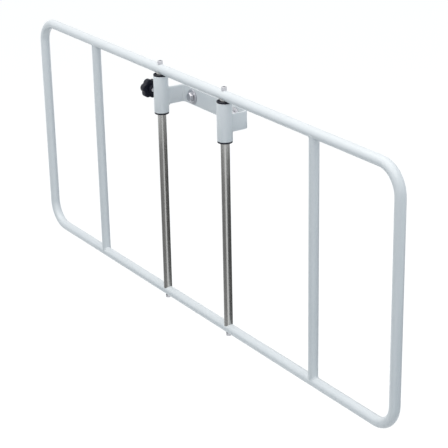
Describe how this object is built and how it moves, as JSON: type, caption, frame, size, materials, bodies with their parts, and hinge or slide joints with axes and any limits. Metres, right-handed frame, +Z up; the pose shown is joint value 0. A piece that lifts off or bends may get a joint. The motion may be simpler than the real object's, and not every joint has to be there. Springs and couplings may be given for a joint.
{
  "type": "bed guard rail",
  "caption": "Metal bed guard rail: a rounded tube frame with upright bars slides up and down on guide rods in a U-shaped bed bracket and is clamped by a star knob.",
  "frame": {"origin": "middle of the strap's rear face, which lies against the side of the bed", "axes": "+X runs along the rail, away from the knob; +Y points from the rail towards the bed; +Z is up"},
  "size_m": [1, 0.0732, 0.4106],
  "materials": {
    "white_paint": "glossy white powder coat",
    "bright_steel": "ground and lightly brushed along its length",
    "zinc_plate": "bright zinc plate",
    "black_plastic": "satin moulded black plastic"
  },
  "bodies": {
    "bracket": {"strap": "white_paint", "sleeve_left": "white_paint", "sleeve_right": "white_paint", "upper_bush_left": "black_plastic", "upper_bush_right": "black_plastic", "lower_bush_left": "black_plastic", "lower_bush_right": "black_plastic", "bed_bolt_left": "zinc_plate", "bed_bolt_right": "zinc_plate", "washer_left": "zinc_plate", "washer_right": "zinc_plate"},
    "rail": {"frame_tube": "white_paint", "bar_left": "white_paint", "bar_right": "white_paint", "guide_rod_left": "bright_steel", "guide_rod_right": "bright_steel", "top_screw_left": "zinc_plate", "top_screw_right": "zinc_plate", "bottom_screw_left": "zinc_plate", "bottom_screw_right": "zinc_plate"},
    "lock_stud": {"lock_stud": "zinc_plate"},
    "knob": {"knob": "black_plastic"}
  },
  "joints": [
    {"name": "rail_slide", "type": "slide", "parent": "bracket", "child": "rail", "axis": [0, 0, 1], "range_m": [0, 0.302]},
    {"name": "stud_travel", "type": "slide", "parent": "bracket", "child": "lock_stud", "axis": [-1, 0, 0], "range_m": [0, 0.0025]},
    {"name": "knob_turn", "type": "hinge", "parent": "lock_stud", "child": "knob", "pos_m": [-0.122, -0.0445, 0.006], "axis": [-1, 0, 0], "range_deg": [0, 720]}
  ],
  "couplings": [
    {"joint": "knob_turn", "follows": "stud_travel", "rad_per_m": 5026.5}
  ]
}
